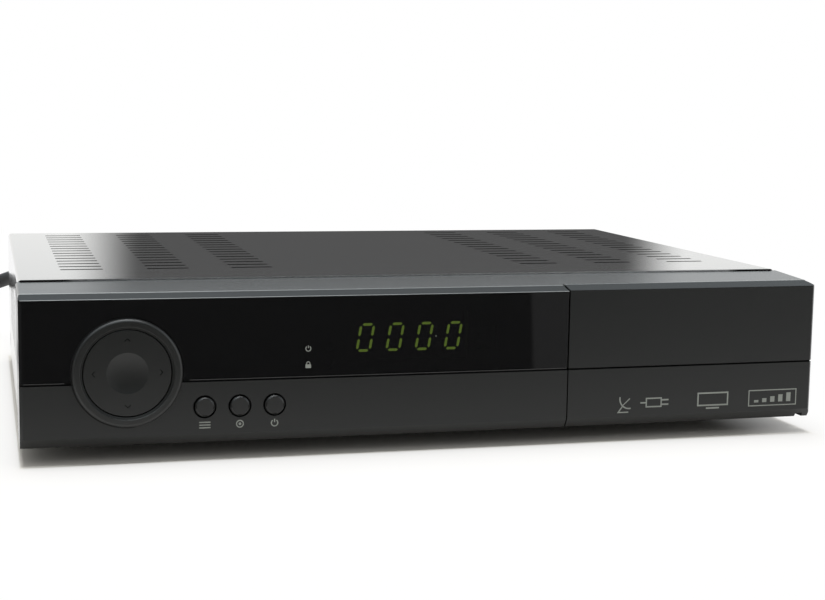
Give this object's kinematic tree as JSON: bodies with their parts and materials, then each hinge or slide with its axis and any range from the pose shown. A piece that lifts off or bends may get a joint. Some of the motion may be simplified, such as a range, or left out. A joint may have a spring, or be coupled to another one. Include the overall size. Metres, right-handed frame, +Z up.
{
  "type": "satellite television receiver",
  "caption": "Low desktop receiver box: bowed plastic front with tilting pad, keys, dark display window and fold-down flap, slotted metal cover, rear sockets and mains lead.",
  "frame": {"origin": "on the surface it stands on, under the middle of the box, the mains lead left out", "axes": "+X to the right seen from the front, +Y from front to back, +Z up"},
  "size_m": [0.3676, 0.2767, 0.0525],
  "materials": {
    "fascia_plastic": "satin",
    "window_gloss": "polished",
    "flap_plastic": "satin",
    "cover_paint": "gloss black enamel",
    "tray_paint": "satin black",
    "foot_rubber": "matt",
    "screw_steel": "zinc plated",
    "screw_black": "blackened",
    "nav_plastic": "satin",
    "black_plastic": "moulded",
    "button_plastic": "satin",
    "board_laminate": "solder mask",
    "power_laminate": "bare laminate",
    "display_body": "tinted",
    "led_lens": "clear",
    "plated_steel": "tin plated",
    "heatsink_aluminium": "extruded",
    "chip_epoxy": "moulded",
    "capacitor_sleeve": "shrink sleeve",
    "transformer_body": "ferrite and tape",
    "fuse_glass": "clear",
    "insulation_film": "translucent film",
    "switch_plastic": "moulded",
    "cord_sheath": "flexible sheath",
    "tie_plastic": "coated wire tie",
    "plug_plastic": "moulded on",
    "insert_plastic": "moulded, one colour per jack",
    "header_plastic": "moulded nylon",
    "ribbon_film": "flat cable",
    "wire_sleeve": "stranded wire, coloured",
    "pin_brass": "nickel over brass"
  },
  "bodies": {
    "receiver": {"front_fascia": "fascia_plastic", "display_window": "window_gloss", "top_cover": "cover_paint", "base_tray": "tray_paint", "rubber_feet": "foot_rubber", "foot_screws": "screw_steel", "cover_side_screws": "screw_black", "cover_rear_screws": "screw_black", "nav_bezel_ring": "nav_plastic", "nav_pivot_post": "black_plastic", "tact_switches": "black_plastic", "front_pcb": "board_laminate", "front_pcb_screws": "screw_steel", "led_display": "display_body", "indicator_leds": "led_lens", "ir_receiver": "display_body", "usb_front_board": "board_laminate", "usb_front_socket": "plated_steel", "main_pcb": "board_laminate", "psu_pcb": "power_laminate", "board_standoffs": "plated_steel", "board_screws": "screw_steel", "tuner_can": "plated_steel", "f_connectors": "plated_steel", "hdmi_socket": "plated_steel", "rca_barrels": "plated_steel", "rca_housings": "black_plastic", "rca_inserts": "insert_plastic", "serial_port": "plated_steel", "serial_hex_posts": "plated_steel", "processor_heatsink": "heatsink_aluminium", "board_chips": "chip_epoxy", "board_capacitors": "capacitor_sleeve", "psu_transformer": "transformer_body", "psu_capacitors": "capacitor_sleeve", "psu_fuse": "fuse_glass", "insulation_sheet": "insulation_film", "mains_switch_body": "black_plastic", "cord_strain_relief": "cord_sheath", "mains_cord": "cord_sheath", "cord_coil": "cord_sheath", "coil_tie": "tie_plastic", "plug_tail_cord": "cord_sheath", "plug_body": "plug_plastic", "plug_pins": "pin_brass", "board_headers": "header_plastic", "ribbon_cable": "ribbon_film", "power_leads": "wire_sleeve"},
    "flap": {"flap_door": "flap_plastic"},
    "nav_gimbal": {"nav_pivot_cross": "black_plastic"},
    "nav_pad": {"nav_rocker": "nav_plastic"},
    "menu_key": {"menu_button": "button_plastic"},
    "ok_key": {"ok_button": "button_plastic"},
    "power_key": {"power_button": "button_plastic"},
    "mains_switch": {"mains_switch_rocker": "switch_plastic"}
  },
  "joints": [
    {"name": "flap_hinge", "type": "hinge", "parent": "receiver", "child": "flap", "pos_m": [0, -0.09867, 0.0091], "axis": [1, 0, 0], "range_deg": [0, 90]},
    {"name": "nav_up_down", "type": "hinge", "parent": "receiver", "child": "nav_gimbal", "pos_m": [-0.0985, -0.09963, 0.0275], "axis": [1, 0, 0], "range_deg": [-2.5, 2.5], "stiffness_Nm_per_rad": 0.3},
    {"name": "nav_left_right", "type": "hinge", "parent": "nav_gimbal", "child": "nav_pad", "pos_m": [-0.0985, -0.09963, 0.0275], "axis": [0, 0, 1], "range_deg": [-2.5, 2.5], "stiffness_Nm_per_rad": 0.3},
    {"name": "menu_press", "type": "slide", "parent": "receiver", "child": "menu_key", "axis": [0, 1, 0], "range_m": [0, 0.0006], "stiffness_N_per_m": 1500},
    {"name": "ok_press", "type": "slide", "parent": "receiver", "child": "ok_key", "axis": [0, 1, 0], "range_m": [0, 0.0006], "stiffness_N_per_m": 1500},
    {"name": "power_press", "type": "slide", "parent": "receiver", "child": "power_key", "axis": [0, 1, 0], "range_m": [0, 0.0006], "stiffness_N_per_m": 1500},
    {"name": "mains_switch_rock", "type": "hinge", "parent": "receiver", "child": "mains_switch", "pos_m": [-0.088, 0.09083, 0.0322], "axis": [0, 0, 1], "range_deg": [0, 20]}
  ]
}
